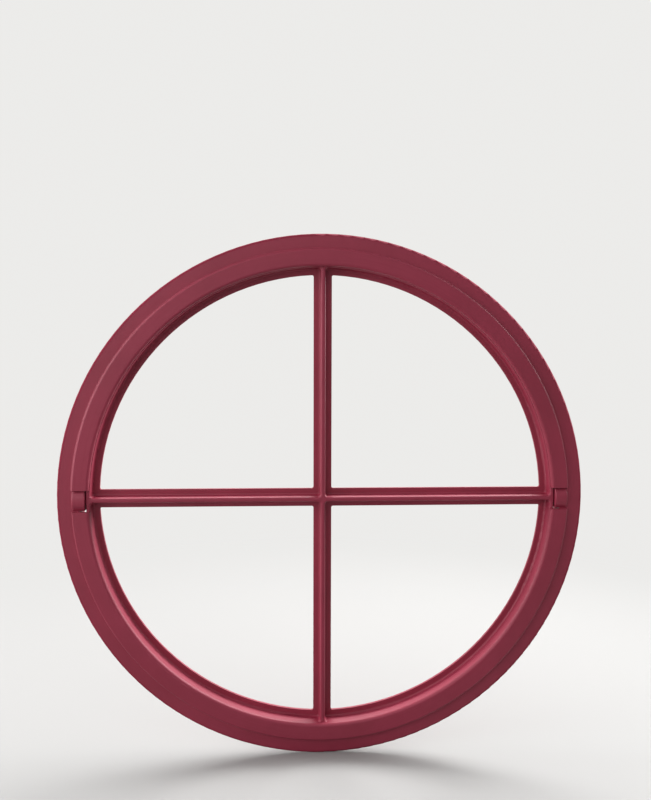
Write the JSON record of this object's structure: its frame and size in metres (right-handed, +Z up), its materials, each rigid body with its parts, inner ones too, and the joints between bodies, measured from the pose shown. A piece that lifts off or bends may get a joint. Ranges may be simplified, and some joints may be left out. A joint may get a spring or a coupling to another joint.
{
  "type": "round window",
  "caption": "Round centre-pivoted cast-iron window: a flanged ring frame and a tilting ring sash with crossed glazing bars and open panes.",
  "frame": {"origin": "centre of the ring, halfway through its depth, on the pivot axis", "axes": "+X along the pivots, to the right seen from outside; +Y into the room; +Z up. The outside face looks along -Y."},
  "size_m": [0.8999, 0.04, 0.9],
  "materials": {
    "frame_casting": "satin red oxide primer",
    "sash_casting": "satin red oxide primer",
    "pivot_steel": "turned",
    "washer_brass": "plain"
  },
  "bodies": {
    "frame": {"outer_frame": "frame_casting", "pivot_screw_left": "pivot_steel", "pivot_screw_right": "pivot_steel", "pivot_washer_left": "washer_brass", "pivot_washer_right": "washer_brass"},
    "sash": {"sash": "sash_casting"}
  },
  "joints": [
    {"name": "sash_pivot", "type": "hinge", "parent": "frame", "child": "sash", "pos_m": [0, 0, 0], "axis": [-1, 0, 0], "range_deg": [0, 80]}
  ]
}
